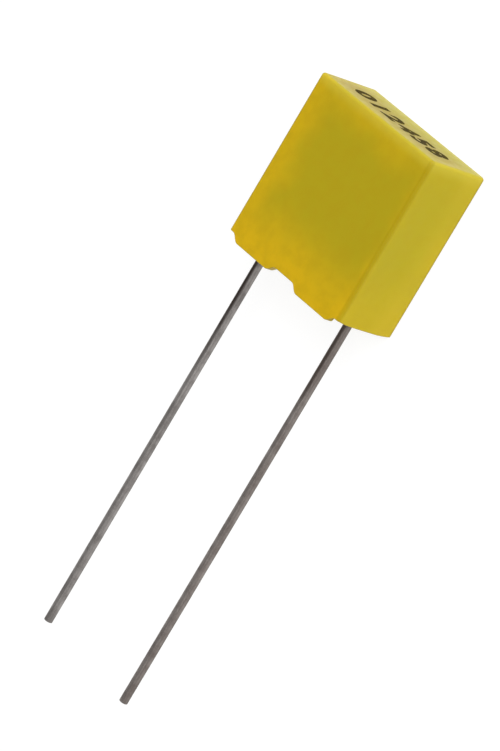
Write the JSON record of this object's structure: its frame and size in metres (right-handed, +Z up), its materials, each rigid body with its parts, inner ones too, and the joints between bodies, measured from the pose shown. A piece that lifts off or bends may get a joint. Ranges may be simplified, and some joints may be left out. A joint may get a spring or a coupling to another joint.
{
  "type": "polyester film capacitor",
  "caption": "Boxed radial film capacitor: yellow moulded case with stand-off feet, resin-filled mouth and long straight tinned wire leads for through-hole soldering.",
  "frame": {"origin": "centre of the back face, the large face on which the capacitor lies", "axes": "+X along the case's length from the left lead to the right one, +Y from the open mouth to the marked face (the leads run along -Y), +Z up, square to the large faces"},
  "size_m": [0.0098, 0.0341, 0.0044],
  "materials": {
    "case_plastic": "moulded yellow plastic, satin",
    "resin": "cast yellow resin, glossy",
    "film": "metallised polyester film, silvery",
    "sprayed_metal": "sprayed metal, rough and matt",
    "tinned_wire": "tinned wire, dull bright"
  },
  "bodies": {
    "root": {"case": "case_plastic", "resin_fill": "resin", "film_winding": "film", "end_contact_left": "sprayed_metal", "end_contact_right": "sprayed_metal", "lead_left": "tinned_wire", "lead_right": "tinned_wire"}
  },
  "joints": []
}
